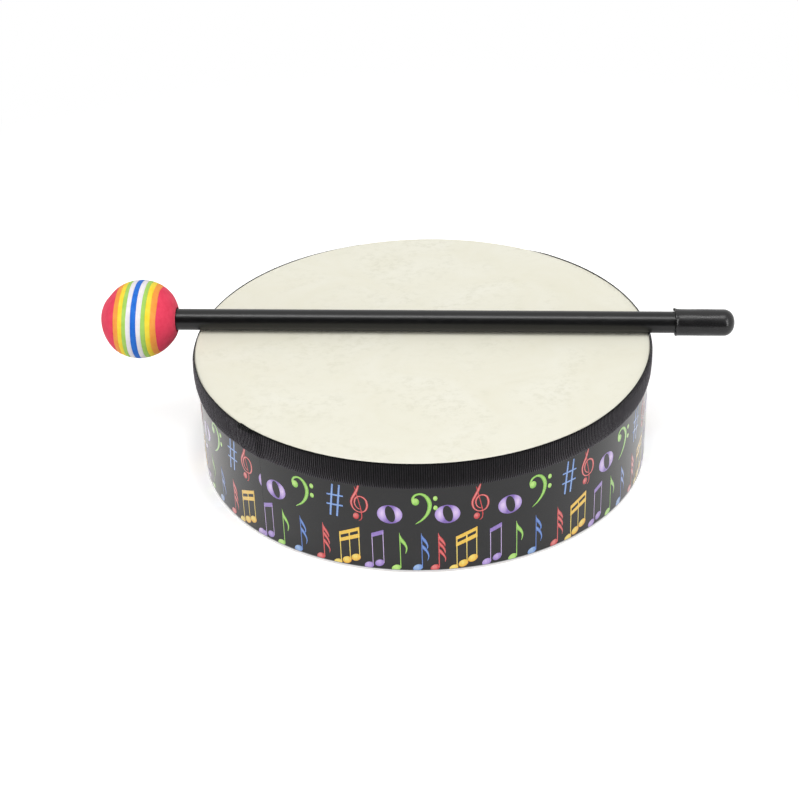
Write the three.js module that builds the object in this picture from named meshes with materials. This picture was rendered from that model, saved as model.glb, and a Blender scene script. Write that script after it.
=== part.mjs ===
// Round hand drum, open side down, with its foam-ball beater lying across the head.
// Millimetres, +Z up. The origin lies on the surface that the drum stands on, in the middle of the set's outline.

import * as THREE from "three";

// Drum: driving dimensions
const wrapOuterR = 122.9;
const drumTop = 66.2;
const shellThick = 6.2;
const wrapThick = 0.35;
const headThick = 0.5;
const headFoldR = 1.0;
const skirtLength = 9.2;
const ribbonWidth = 14.6;
const ribbonThick = 0.7;
const ribbonBulge = 0.3;

// Drum: edges and seams
const shellTopEase = 1.5;
const shellFootEase = 0.4;
const wrapFootMargin = 0.5;
const wrapTopMargin = 1.2;
const wrapSeamAngle = -133.7;
const ribbonEndAngle = -139.6;
const ribbonLapAngle = 5.3;
const ribbonRampAngle = 3.2;
const ribbonRampEnd = 0.4;
const ribbonFootTuck = 0.75;
const ribbonTuckHeight = 3.8;
const ribbonBulgeLow = 7.3;
const ribbonBulgeHigh = 10.2;

// Beater: driving dimensions
const shaftR = 5.88;
const shaftWall = 1.5;
const ballR = 21.85;
const capLength = 32.1;
const capR = 7.25;
const capDome = 5.9;
const capEndThick = 4.4;
const capLipLength = 1.2;
const capLipEase = 0.3;
const capLipHeight = 0.2;
const foamGlueThick = 0.3;
const glueSetback = 3.2;

// Beater: how it lies across the drum, with the ball past one side of the rim and the cap past the other
const beaterYaw = -4.83;
const ballRimClearance = 8.15;
const capRimClearance = 12.2;
const ballCentreY = 21.85;

// Foam sheets between the two end caps of the ball, from the outer side to the shaft side
const orangeSheet = 2.8;
const yellowSheet = 2.5;
const greenSheet = 2.25;
const whiteSheet = 2.65;
const blueSheet = 3.0;
const foamSheets = [
  { colour: "orange", thick: orangeSheet },
  { colour: "yellow", thick: yellowSheet },
  { colour: "green", thick: greenSheet },
  { colour: "white", thick: whiteSheet },
  { colour: "blue", thick: blueSheet },
  { colour: "white", thick: whiteSheet },
  { colour: "green", thick: greenSheet },
  { colour: "yellow", thick: yellowSheet },
  { colour: "orange", thick: orangeSheet },
];
const foamStackOffset = 0.42;
const sheetsBeyondSocket = 1;

// Clearances and fineness
const fitGap = 0.3;
const sheetGap = 0.3;
const seamGap = 0.3;
const drumSides = 72;
const beaterSides = 28;
const arcStep = 15;
const leastStripStep = 0.2;

// Sizes that follow from the ones above
const shellOuterR = wrapOuterR - wrapThick - fitGap;
const shellInnerR = shellOuterR - shellThick;
const headUnderside = drumTop - headThick;
const shellTop = headUnderside - fitGap;
const skirtInnerR = wrapOuterR + fitGap;
const skirtOuterR = skirtInnerR + headThick;
const skirtFoot = drumTop - headFoldR - skirtLength;
const ribbonInnerR = skirtOuterR + fitGap;
const rimR = ribbonInnerR + ribbonBulge + ribbonThick;
const shaftAxisZ = drumTop + fitGap + shaftR;
const socketR = shaftR + fitGap + foamGlueThick + fitGap;

// Along X from the drum's axis, except for capMouth and capEnd, which run along the beater from the ball's centre
const yawCos = Math.cos(THREE.MathUtils.degToRad(beaterYaw));
const ballCentreX = -(rimR + ballRimClearance + ballR);
const capMouthX = rimR + capRimClearance;
const capMouth = (capMouthX - ballCentreX) / yawCos;
const capEnd = capMouth + capLength;
const setStartX = ballCentreX - ballR * yawCos;
const setEndX = capMouthX + capLength * yawCos;
const drumAxisX = -(setStartX + setEndX) / 2;

const colours = {
  shell: 0xcda876,
  wrap: 0x2b2a2d,
  head: 0xe9e5d2,
  ribbon: 0x19181a,
  shaft: 0x0d0d0e,
  cap: 0x1c1b1c,
  glue: 0xd8cfb4,
  red: 0xd3203f,
  orange: 0xf58a1c,
  yellow: 0xf7e14a,
  green: 0x7cc957,
  white: 0xf4f4f8,
  blue: 0x1e62b8,
};

function finish(colour, roughness, metalness = 0) {
  return new THREE.MeshStandardMaterial({ color: colour, roughness, metalness });
}

function radians(degrees) {
  return THREE.MathUtils.degToRad(degrees);
}

// Points of an arc about (centreR, centreZ), both ends included, at most arcStep degrees apart.
function arc(centreR, centreZ, radius, fromDegrees, toDegrees) {
  const steps = Math.max(1, Math.ceil(Math.abs(toDegrees - fromDegrees) / arcStep));
  return Array.from({ length: steps + 1 }, (_, i) => {
    const angle = radians(fromDegrees + ((toDegrees - fromDegrees) * i) / steps);
    return [centreR + radius * Math.cos(angle), centreZ + radius * Math.sin(angle)];
  });
}

// A solid turned about Z from an outline of [radius, height] points that runs counterclockwise.
function turned(outline, sides) {
  const points = outline.map(([r, z]) => new THREE.Vector2(r, z));
  const startsOnAxis = outline[0][0] === 0;
  if (!startsOnAxis) points.push(points[0].clone());
  return new THREE.LatheGeometry(points, sides).rotateX(Math.PI / 2);
}

// A strip bent round Z: one section at each angle, closed by a flat cut at both ends.
function bentStrip(sectionAt, angles) {
  const sections = angles.map((degrees) => sectionAt(degrees));
  const corners = sections[0].length;
  const positions = sections.flatMap((section, i) => {
    const angle = radians(angles[i]);
    return section.flatMap(([r, z]) => [r * Math.cos(angle), r * Math.sin(angle), z]);
  });
  const faces = [];
  for (let ring = 0; ring < sections.length - 1; ring += 1) {
    for (let k = 0; k < corners; k += 1) {
      const a = ring * corners + k;
      const d = ring * corners + ((k + 1) % corners);
      const b = a + corners;
      const c = d + corners;
      faces.push(a, b, d, b, c, d);
    }
  }
  const cutFaces = THREE.ShapeUtils.triangulateShape(
    sections[0].map(([r, z]) => new THREE.Vector2(r, z)),
    [],
  );
  const last = (sections.length - 1) * corners;
  for (const [a, b, c] of cutFaces) {
    faces.push(a, b, c, last + c, last + b, last + a);
  }
  const geometry = new THREE.BufferGeometry();
  geometry.setAttribute("position", new THREE.Float32BufferAttribute(positions, 3));
  geometry.setIndex(faces);
  geometry.computeVertexNormals();
  return geometry;
}

// Angles from start to end in degrees, with one at each side of the drum's other rings in between.
function stripAngles(start, end, extra = []) {
  const step = 360 / drumSides;
  const between = [];
  for (let k = Math.ceil(start / step); k * step < end; k += 1) between.push(k * step);
  const inside = [...between, ...extra].filter(
    (angle) => angle > start + leastStripStep && angle < end - leastStripStep,
  );
  const sorted = [start, ...inside.sort((a, b) => a - b), end];
  return sorted.filter((a, i) => i === 0 || a - sorted[i - 1] > leastStripStep);
}

function shellGeometry() {
  return turned(
    [
      [shellInnerR, shellTop],
      [shellInnerR, 0],
      [shellOuterR - shellFootEase, 0],
      [shellOuterR, shellFootEase],
      ...arc(shellOuterR - shellTopEase, shellTop - shellTopEase, shellTopEase, 0, 90),
    ],
    drumSides,
  );
}

// The printed film meets itself in one upright seam.
function wrapGeometry() {
  const halfSeam = THREE.MathUtils.radToDeg(seamGap / 2 / wrapOuterR);
  const inner = wrapOuterR - wrapThick;
  const top = shellTop - shellTopEase - wrapTopMargin;
  const section = [
    [inner, wrapFootMargin],
    [wrapOuterR, wrapFootMargin],
    [wrapOuterR, top],
    [inner, top],
  ];
  return bentStrip(
    () => section,
    stripAngles(wrapSeamAngle + halfSeam, wrapSeamAngle + 360 - halfSeam),
  );
}

// The head is one film: a flat disc, a tight fold over the shell's edge, and a skirt outside it.
function headGeometry() {
  const foldCentreR = skirtOuterR - headFoldR;
  const foldCentreZ = drumTop - headFoldR;
  const innerFoldR = headFoldR - headThick;
  return turned(
    [
      [0, headUnderside],
      ...arc(foldCentreR, foldCentreZ, innerFoldR, 90, 0),
      [skirtInnerR, skirtFoot],
      [skirtOuterR, skirtFoot],
      ...arc(foldCentreR, foldCentreZ, headFoldR, 0, 90),
      [0, drumTop],
    ],
    drumSides,
  );
}

// Section of the ribbon at a given lift off the layer below, bowed out in the middle of its width.
function ribbonSection(lift) {
  const foot = drumTop - ribbonWidth;
  const curve = [
    [ribbonInnerR - ribbonFootTuck, foot],
    [ribbonInnerR, foot + ribbonTuckHeight],
    [ribbonInnerR + ribbonBulge, foot + ribbonBulgeLow],
    [ribbonInnerR + ribbonBulge, foot + ribbonBulgeHigh],
    [ribbonInnerR, drumTop],
  ];
  const outside = curve.map(([r, z]) => [r + lift + ribbonThick, z]);
  const inside = curve.map(([r, z]) => [r + lift, z]).reverse();
  return [...outside, ...inside];
}

// The ribbon goes once round the rim, climbs over its own start and ends in a cut end on top of it.
function ribbonGeometry() {
  const outerEnd = ribbonEndAngle;
  const innerStart = ribbonEndAngle + ribbonLapAngle + 360;
  const climbFrom = ribbonEndAngle + ribbonLapAngle + ribbonRampAngle;
  const climbTo = climbFrom - ribbonRampAngle + ribbonRampEnd;
  const fullLift = ribbonThick + fitGap;
  const sectionAt = (degrees) => {
    const share = THREE.MathUtils.clamp((climbFrom - degrees) / (climbFrom - climbTo), 0, 1);
    return ribbonSection(fullLift * share);
  };
  return bentStrip(sectionAt, stripAngles(outerEnd, innerStart, [climbTo, climbFrom]));
}

// Turned about the beater's own axis, which runs along X from the ball's centre to the cap.
function turnedAlongX(outline) {
  return turned(outline, beaterSides).rotateY(Math.PI / 2);
}

function sheetPlanes() {
  const stack = foamSheets.reduce((sum, sheet) => sum + sheet.thick, 0);
  const planes = [foamStackOffset - stack / 2];
  for (const sheet of foamSheets) planes.push(planes.at(-1) + sheet.thick);
  return planes;
}

const planes = sheetPlanes();
const socketEnd = planes[sheetsBeyondSocket] + sheetGap / 2;
const shaftStart = socketEnd + fitGap;
const shaftEnd = capEnd - capEndThick - fitGap;

// One slice of the ball between two planes square to the shaft.
function foamLayerGeometry(from, to) {
  const bore = from >= planes[sheetsBeyondSocket] ? socketR : 0;
  const start = Math.max(from, -ballR);
  const end = Math.min(to, Math.sqrt(ballR ** 2 - bore ** 2));
  const startAngle = THREE.MathUtils.radToDeg(Math.asin(start / ballR));
  const endAngle = THREE.MathUtils.radToDeg(Math.asin(end / ballR));
  const outline = arc(0, 0, ballR, startAngle, endAngle);
  if (start === -ballR) outline[0] = [0, -ballR];
  else outline.unshift([bore, start]);
  if (end === to) outline.push([bore, end]);
  else outline[outline.length - 1] = [bore, end];
  return turnedAlongX(outline);
}

function foamLayers() {
  const names = ["red", ...foamSheets.map((sheet) => sheet.colour), "red"];
  const edges = [-ballR, ...planes, ballR];
  return names.map((colour, i) => {
    const from = i === 0 ? edges[i] : edges[i] + sheetGap / 2;
    const to = i === names.length - 1 ? edges[i + 1] : edges[i + 1] - sheetGap / 2;
    const number = String(i + 1).padStart(2, "0");
    const layer = new THREE.Mesh(foamLayerGeometry(from, to), finish(colours[colour], 0.85));
    layer.name = `foam_${number}_${colour}`;
    return layer;
  });
}

function tubeOutline(innerR, outerR, from, to) {
  return [
    [innerR, from],
    [outerR, from],
    [outerR, to],
    [innerR, to],
  ];
}

function shaftGeometry() {
  return turnedAlongX(tubeOutline(shaftR - shaftWall, shaftR, shaftStart, shaftEnd));
}

// The glue sleeve that holds the foam on the shaft.
function ballGlueGeometry() {
  const inner = shaftR + fitGap;
  const outer = inner + foamGlueThick;
  const mouth = Math.sqrt(ballR ** 2 - socketR ** 2);
  return turnedAlongX(tubeOutline(inner, outer, shaftStart, mouth - glueSetback));
}

// A soft push-on cap with a lip at its mouth and a domed end.
function capGeometry() {
  const bore = shaftR + fitGap;
  const domeStart = capEnd - capDome;
  const dome = arc(0, 0, 1, 0, 90).map(([x, y]) => [capR * x, domeStart + capDome * y]);
  dome[dome.length - 1] = [0, capEnd];
  return turnedAlongX([
    [0, capEnd - capEndThick],
    [bore, capEnd - capEndThick],
    [bore, capMouth],
    [capR, capMouth],
    [capR + capLipHeight, capMouth + capLipEase],
    [capR + capLipHeight, capMouth + capLipLength - capLipEase],
    [capR, capMouth + capLipLength],
    ...dome,
  ]);
}

function piece(name, geometry, material) {
  const mesh = new THREE.Mesh(geometry, material);
  mesh.name = name;
  return mesh;
}

function makeDrum() {
  const drum = new THREE.Group();
  drum.add(
    piece("shell", shellGeometry(), finish(colours.shell, 0.6)),
    piece("printed_wrap", wrapGeometry(), finish(colours.wrap, 0.3)),
    piece("drum_head", headGeometry(), finish(colours.head, 0.55)),
    piece("rim_ribbon", ribbonGeometry(), finish(colours.ribbon, 0.85)),
  );
  drum.position.x = drumAxisX;
  return drum;
}

function makeBeater() {
  const beater = new THREE.Group();
  beater.add(
    piece("beater_shaft", shaftGeometry(), finish(colours.shaft, 0.2)),
    piece("end_cap", capGeometry(), finish(colours.cap, 0.45)),
    piece("ball_glue", ballGlueGeometry(), finish(colours.glue, 0.6)),
    ...foamLayers(),
  );
  beater.position.set(drumAxisX + ballCentreX, ballCentreY, shaftAxisZ);
  beater.rotation.z = radians(beaterYaw);
  return beater;
}

const set = new THREE.Group();
set.add(makeDrum(), makeBeater());
export default set;
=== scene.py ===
"""Looks for the hand drum and its beater: pieces, materials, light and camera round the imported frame."""
import math

import bmesh
import bpy
import numpy as np
from mathutils import Matrix, Vector
from mathutils.geometry import delaunay_2d_cdt


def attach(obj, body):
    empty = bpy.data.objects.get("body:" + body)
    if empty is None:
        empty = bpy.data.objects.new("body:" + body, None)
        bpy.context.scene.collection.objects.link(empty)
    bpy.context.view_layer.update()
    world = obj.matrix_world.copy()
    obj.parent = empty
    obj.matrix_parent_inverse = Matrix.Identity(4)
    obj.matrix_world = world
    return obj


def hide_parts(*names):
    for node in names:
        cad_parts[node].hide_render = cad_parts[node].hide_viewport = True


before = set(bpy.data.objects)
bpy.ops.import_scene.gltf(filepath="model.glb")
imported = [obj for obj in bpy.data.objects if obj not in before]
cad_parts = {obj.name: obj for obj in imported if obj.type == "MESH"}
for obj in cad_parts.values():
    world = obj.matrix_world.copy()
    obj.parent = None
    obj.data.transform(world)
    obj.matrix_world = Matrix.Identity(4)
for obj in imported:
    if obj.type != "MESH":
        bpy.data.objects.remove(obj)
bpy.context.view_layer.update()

MM = 0.001

# Drum sizes in millimetres, as in the solids
DRUM_X = 3.793
SHELL_INNER_R = 116.05
SHELL_OUTER_R = 122.25
SHELL_TOP = 65.4
PLY_THICK = 2.067
WRAP_R = 122.9
WRAP_THICK = 0.35
WRAP_FOOT = 0.5
WRAP_TOP = 62.7
WRAP_LENGTH = 2 * math.pi * WRAP_R
PRINT_FOOT = 1.45
SEAM_ARC = -93.9
HEAD_TOP = 66.2
HEAD_THICK = 0.5
HEAD_R = 123.7
HEAD_FOLD_R = 1.0
SKIRT_FOOT = 56.0
RIBBON_INNER_R = 124.0

# Beater sizes in millimetres, measured along the shaft from the ball's centre
BEATER_PLACE = (-151.207, 21.85, 72.38)
BEATER_YAW = -4.83
SHAFT_R = 5.88
SHAFT_BORE_R = 4.38
SHAFT_START = -8.03
SHAFT_END = 320.64
CAP_R = 7.25
CAP_BORE_R = 6.18
CAP_DOME = 5.9
CAP_MOUTH = 293.24
CAP_END = 325.28
CAP_FLOOR = 320.94
BALL_R = 21.85
SOCKET_R = 6.78
SHEET_PLANES = (-11.28, -8.48, -5.98, -3.73, -1.08, 1.92, 4.57, 6.82, 9.32, 12.12)

PLACES = {"drum": (DRUM_X, 0, 0), "beater": BEATER_PLACE}
YAW_COS = math.cos(math.radians(BEATER_YAW))
YAW_SIN = math.sin(math.radians(BEATER_YAW))


# Small tools for meshes

def ripple(angles, seed, low, high, size):
    """Smooth seeded noise round a closed circle, between -size and size."""
    def waves(angles):
        rng = np.random.RandomState(seed)
        total = np.zeros(np.shape(angles))
        for wave in range(low, high + 1):
            total += rng.normal() * np.sin(wave * angles + rng.uniform(0, 2 * math.pi)) / math.sqrt(wave)
        return total

    whole_circle = waves(np.linspace(0, 2 * math.pi, 721))
    return waves(angles) * size / np.abs(whole_circle).max()


def smoothstep(low, high, value):
    t = np.clip((value - low) / (high - low), 0, 1)
    return t * t * (3 - 2 * t)


def grid_quads(rings, corners, closed=True):
    """Quads between rings of equal point counts. The last ring meets the first, or both ends are filled."""
    a, k = np.meshgrid(np.arange(rings if closed else rings - 1), np.arange(corners), indexing="ij")
    b, n = (a + 1) % rings, (k + 1) % corners
    quads = np.stack([a * corners + k, b * corners + k, b * corners + n, a * corners + n], -1)
    faces = quads.reshape(-1, 4).tolist()
    if not closed:
        faces.append(list(range(corners)))
        faces.append([(rings - 1) * corners + k for k in reversed(range(corners))])
    return faces


def read_values(items, name, kind, width=1):
    values = np.zeros(len(items) * width, kind)
    items.foreach_get(name, values)
    return values


def set_values(mesh, name, values):
    """Stores one number a point in the mesh, for its material."""
    mesh.attributes.new(name, "FLOAT", "POINT").data.foreach_set("value", values.astype(np.float32))


def place_piece(mesh, body, material, replaces=()):
    """The mesh as an object that rides on a CAD body, with its material; the CAD parts it replaces are
    hidden.
    """
    mesh.materials.append(material)
    piece = bpy.data.objects.new(mesh.name, mesh)
    bpy.context.scene.collection.objects.link(piece)
    piece.location = Vector(PLACES[body]) * MM
    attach(piece, body)
    if replaces:
        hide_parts(*replaces)
    return piece


def add_piece(name, points, faces, body, material, node, sharp=35.0):
    """A piece of millimetre points, smooth but for its sharp edges, that stands for one CAD node."""
    mesh = bpy.data.meshes.new(name)
    points = np.asarray(points, float) * MM
    if body == "beater":
        x, y = points[:, 0].copy(), points[:, 1].copy()
        points[:, 0], points[:, 1] = x * YAW_COS - y * YAW_SIN, x * YAW_SIN + y * YAW_COS
    mesh.from_pydata(points.tolist(), [], faces)
    work = bmesh.new()
    work.from_mesh(mesh)
    bmesh.ops.remove_doubles(work, verts=work.verts, dist=1e-7)
    bmesh.ops.recalc_face_normals(work, faces=work.faces)
    work.to_mesh(mesh)
    work.free()
    mesh.shade_smooth()
    mesh.set_sharp_from_angle(angle=math.radians(sharp))
    return place_piece(mesh, body, material, [node])


def swept(outline, angles, closed, warp=None):
    """A closed outline of (radius, height) swept about Z. warp may move (angle, r, z)."""
    outline = np.asarray(outline, float)
    angle, r = np.meshgrid(angles, outline[:, 0], indexing="ij")
    z = np.broadcast_to(outline[:, 1], r.shape).copy()
    if warp is not None:
        r, z = warp(angle, r, z)
    points = np.stack([r * np.cos(angle), r * np.sin(angle), z], -1).reshape(-1, 3)
    return points, grid_quads(len(angles), len(outline), closed)


def turned(outline, sides, warp=None):
    return swept(outline, np.linspace(0, 2 * math.pi, sides, endpoint=False), True, warp)


def turned_along_x(outline, sides, warp=None):
    """The same about X: the outline is of (radius, distance along X)."""
    points, faces = turned(outline, sides, warp)
    return points[:, [2, 0, 1]], faces


def arc_points(centre_r, centre_z, radius, start, end, steps):
    angles = np.radians(np.linspace(start, end, steps + 1))
    return [(centre_r + radius * math.cos(a), centre_z + radius * math.sin(a)) for a in angles]


def line_points(start, end, steps):
    """Points from start to end with both ends left out."""
    return [
        (start[0] + (end[0] - start[0]) * i / steps, start[1] + (end[1] - start[1]) * i / steps)
        for i in range(1, steps)
    ]


# Small tools for materials

def linear(red, green, blue):
    """A display colour from 0 to 255 as the linear colour that nodes take."""
    def channel(value):
        v = value / 255
        return v / 12.92 if v <= 0.04045 else ((v + 0.055) / 1.055) ** 2.4
    return (channel(red), channel(green), channel(blue), 1.0)


def new_material(name, **sockets):
    """A material with the named sockets set on its Principled shader."""
    material = bpy.data.materials.new(name)
    material.use_nodes = True
    shader = material.node_tree.nodes["Principled BSDF"]
    for socket, value in sockets.items():
        shader.inputs[socket.replace("_", " ")].default_value = value
    return material


def add_node(tree, kind, inputs=None, **settings):
    made = tree.nodes.new("ShaderNode" + kind)
    for key, value in settings.items():
        setattr(made, key, value)
    for key, value in (inputs or {}).items():
        if isinstance(value, bpy.types.NodeSocket):
            tree.links.new(value, made.inputs[key])
        else:
            made.inputs[key].default_value = value
    return made


def stretched(material, stretch=(1, 1, 1), on_beater=False):
    """The piece's own coordinates in metres, stretched. On the beater, X runs along the shaft."""
    tree = material.node_tree
    place = add_node(tree, "TexCoord").outputs["Object"]
    if on_beater:
        turn = {"Vector": place, "Angle": -math.radians(BEATER_YAW)}
        place = add_node(tree, "VectorRotate", turn, rotation_type="Z_AXIS").outputs["Vector"]
    return add_node(tree, "VectorMath", {0: place, 1: stretch}, operation="MULTIPLY").outputs["Vector"]


def noise(material, scale, detail=3.0, roughness=0.55, distortion=0.0, stretch=(1, 1, 1), on_beater=False):
    inputs = {"Vector": stretched(material, stretch, on_beater), "Scale": scale, "Detail": detail}
    inputs.update({"Roughness": roughness, "Distortion": distortion})
    return add_node(material.node_tree, "TexNoise", inputs).outputs["Fac"]


def beater_noise(material, *settings, **stretch):
    return noise(material, *settings, **stretch, on_beater=True)


def own_axes(material):
    """X, Y and Z of the piece's own coordinates in metres."""
    place = add_node(material.node_tree, "TexCoord").outputs["Object"]
    return add_node(material.node_tree, "SeparateXYZ", {0: place}).outputs


def attribute(material, name):
    return add_node(material.node_tree, "Attribute", attribute_name=name).outputs["Fac"]


def maths(operation, a, b=0.0):
    return add_node(a.id_data, "Math", {0: a, 1: b}, operation=operation).outputs["Value"]


def map_range(value, low, high, to_low=0.0, to_high=1.0):
    inputs = {"Value": value, "From Min": low, "From Max": high, "To Min": to_low, "To Max": to_high}
    return add_node(value.id_data, "MapRange", inputs, interpolation_type="SMOOTHSTEP").outputs["Result"]


def mix(factor, a, b):
    """Mix of two colours, each a socket, a display colour of three numbers or a linear one of four."""
    a, b = (linear(*c) if isinstance(c, tuple) and len(c) == 3 else c for c in (a, b))
    return add_node(factor.id_data, "Mix", {0: factor, 6: a, 7: b}, data_type="RGBA").outputs[2]


def ramp(factor, *stops):
    """A colour ramp through (place, red, green, blue) stops in display colours."""
    node = add_node(factor.id_data, "ValToRGB", {"Fac": factor})
    elements = node.color_ramp.elements
    while len(elements) < len(stops):
        elements.new(0.5)
    for element, (place, *colour) in zip(elements, stops):
        element.position = place
        element.color = linear(*colour)
    return node.outputs["Color"]


def finish(material, colour, roughness, *bumps):
    """Feeds the shader a colour, a roughness, and bumps of (height, strength, millimetres)."""
    tree = material.node_tree
    fed = {"Base Color": colour, "Roughness": roughness}
    for height, strength, depth in bumps:
        inputs = {"Height": height, "Strength": strength, "Distance": depth * MM}
        if "Normal" in fed:
            inputs["Normal"] = fed["Normal"]
        fed["Normal"] = add_node(tree, "Bump", inputs).outputs["Normal"]
    for socket, value in fed.items():
        if value is not None:
            tree.links.new(value, tree.nodes["Principled BSDF"].inputs[socket])
    return material


# Materials of the drum

def wood_material():
    """Bent plywood: grain running round the hoop, plies and glue lines at its edges, a scarf joint."""
    wood = new_material("bent_plywood", Roughness=0.55)
    grain = noise(wood, 1400, 4, 0.6, 0.4, (0.03, 0.03, 1))
    broad = noise(wood, 90, 3, 0.5, 1.2, (0.08, 0.08, 1))
    face = ramp(grain, (0.3, 186, 143, 96), (0.5, 212, 175, 128), (0.68, 226, 195, 152))
    face = mix(map_range(broad, 0.4, 0.7, 0, 0.45), face, (190, 148, 104))
    x, y, z = own_axes(wood)
    radius = maths("SQRT", maths("ADD", maths("MULTIPLY", x, x), maths("MULTIPLY", y, y)))
    depth = maths("SUBTRACT", radius, SHELL_INNER_R * MM)
    ply = maths("FRACT", maths("DIVIDE", depth, PLY_THICK * MM))
    plies = ramp(
        ply, (0.0, 150, 104, 62), (0.05, 214, 178, 132), (0.47, 205, 166, 118), (0.5, 140, 95, 56),
        (0.55, 172, 126, 80), (0.97, 180, 134, 88)
    )
    colour = mix(map_range(z, 0.35 * MM, 0.1 * MM), face, plies)
    slope = maths("SUBTRACT", maths("MULTIPLY", z, 9.0), 0.55)
    off_joint = maths("ABSOLUTE", maths("SUBTRACT", maths("ARCTAN2", y, x), slope))
    joint = maths("MULTIPLY", map_range(off_joint, 0.0035, 0.0012), 0.75)
    colour = mix(joint, colour, (118, 78, 46))
    roughness = map_range(grain, 0.3, 0.7, 0.62, 0.48)
    return finish(wood, colour, roughness, (grain, 0.25, 0.12), (noise(wood, 2600, 2), 0.1, 0.05))


FILM_GLOSS = {"IOR": 1.42, "Coat_Weight": 0.5, "Coat_IOR": 1.3, "Coat_Roughness": 0.08}


def finish_film(film, colour):
    """The slight orange peel and rubbed spots of a glossy printed film on wood."""
    peel = noise(film, 420, 2, 0.5)
    waves = noise(film, 60, 2, 0.5, stretch=(1, 1, 0.6))
    rub = noise(film, 35, 5, 0.65, stretch=(1, 1, 2.5))
    roughness = map_range(rub, 0.35, 0.75, 0.1, 0.19)
    return finish(film, colour, roughness, (waves, 0.12, 0.35), (peel, 0.06, 0.06))


def wrap_material():
    """Black film, faintly clouded and flecked, with a white margin along its foot."""
    film = new_material("wrap_film", **FILM_GLOSS)
    colour = ramp(noise(film, 130, 4, 0.6), (0.3, 9, 8, 10), (0.7, 18, 17, 19))
    fleck = noise(film, 5200, 2, 0.6)
    colour = mix(map_range(fleck, 0.72, 0.8, 0, 0.25), colour, (80, 80, 84))
    margin = map_range(own_axes(film)["Z"], PRINT_FOOT * MM + 0.0003, PRINT_FOOT * MM - 0.0006)
    return finish_film(film, mix(margin, colour, (243, 243, 244)))


def ink_material(name, edge, body, light):
    """A printed figure's ink: darker at its edge, lighter along its middle, with a milky sheen over it."""
    ink = new_material(name, Sheen_Weight=0.8, Sheen_Roughness=0.42, **FILM_GLOSS)
    grain = maths("MULTIPLY", maths("SUBTRACT", noise(ink, 3800, 2, 0.6), 0.5), 0.25)
    shade = maths("ADD", attribute(ink, "shade"), grain)
    return finish_film(ink, ramp(shade, (0.0, *edge), (0.3, *body), (0.85, *light)))


def head_material():
    """Parchment-like drum film: cream, faintly clouded in grey green, with short fibre streaks."""
    film = new_material("head_film", IOR=1.45)
    cloud = noise(film, 26, 5, 0.62, 0.6)
    patch = noise(film, 24, 3, 0.6, 0.8)
    streak = noise(film, 250, 4, 0.65, stretch=(1, 1.15, 1))
    fibre = noise(film, 900, 3, 0.6, 0.6, (3.5, 1, 1))
    colour = ramp(cloud, (0.3, 238, 235, 216), (0.7, 243, 241, 226))
    marks = maths("MULTIPLY", map_range(patch, 0.38, 0.68), map_range(streak, 0.42, 0.72))
    colour = mix(maths("MULTIPLY", marks, 0.34), colour, (206, 203, 178))
    colour = mix(map_range(fibre, 0.6, 0.8, 0, 0.15), colour, (246, 245, 234))
    return finish(
        film, colour, map_range(streak, 0.3, 0.7, 0.5, 0.38), (cloud, 0.15, 0.3), (fibre, 0.12, 0.05)
    )


def ribbon_material():
    """Black grosgrain: the ribs are in the mesh, and this adds their fine threads and dust, a painted sheen
    that pales the colour at grazing angles, and painted shade in the rib valleys, along the top edge and in
    the lap's shadow gap.
    """
    tape = new_material("grosgrain", Sheen_Weight=0.6, Sheen_Roughness=0.3, Specular_IOR_Level=0.12)
    thread = noise(tape, 3000, 3, 0.65, stretch=(1, 1, 0.35))
    cloud = noise(tape, 70, 4, 0.6)
    dust = noise(tape, 1500, 4, 0.75)
    colour = ramp(thread, (0.3, 18, 16, 19), (0.7, 44, 41, 45))
    colour = mix(map_range(cloud, 0.4, 0.75, 0, 0.35), colour, (20, 18, 21))
    colour = mix(map_range(dust, 0.69, 0.8, 0, 0.3), colour, (110, 108, 108))
    # Painted sheen: the colour grows paler towards grazing angles.
    facing = add_node(tape.node_tree, "LayerWeight", {"Blend": 0.5}).outputs["Facing"]
    colour = mix(map_range(facing, 0.22, 0.75, 0, 0.85), colour, (100, 94, 103))
    # Painted shade: near black in the rib valleys, along the top edge and at the lap's edge, as the mesh's
    # attribute says.
    colour = mix(map_range(attribute(tape, "rib_and_edge_shade"), 0.06, 0.36), colour, (2, 2, 3))
    return finish(tape, colour, map_range(thread, 0.3, 0.7, 0.75, 0.55), (thread, 0.5, 0.08))


# Materials of the beater

def shaft_material():
    """Gloss black tube with very faint drawing lines along it and a few rubbed specks."""
    tube = new_material("gloss_black_tube", IOR=1.46)
    lines = beater_noise(tube, 2400, 3, 0.6, stretch=(0.02, 1, 1))
    specks = beater_noise(tube, 700, 4, 0.7, stretch=(0.5, 1, 1))
    colour = ramp(specks, (0.3, 5, 5, 6), (0.75, 13, 12, 13))
    return finish(tube, colour, map_range(specks, 0.35, 0.75, 0.28, 0.34), (lines, 0.03, 0.03))


def cap_material():
    """Satin black vinyl with fine dip marks along it."""
    vinyl = new_material("satin_black_vinyl", IOR=1.46)
    streak = beater_noise(vinyl, 900, 4, 0.65, 0.4, (0.12, 1, 1))
    grain = beater_noise(vinyl, 2200, 3, 0.6)
    colour = ramp(streak, (0.3, 12, 11, 13), (0.7, 25, 24, 25))
    roughness = map_range(streak, 0.3, 0.7, 0.34, 0.24)
    return finish(vinyl, colour, roughness, (streak, 0.06, 0.08), (grain, 0.03, 0.03))


def glue_material():
    glue = new_material("amber_glue", Roughness=0.3)
    cloud = beater_noise(glue, 600, 3, 0.6)
    return finish(glue, ramp(cloud, (0.3, 168, 150, 104), (0.7, 205, 190, 148)), None, (cloud, 0.3, 0.1))


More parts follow.
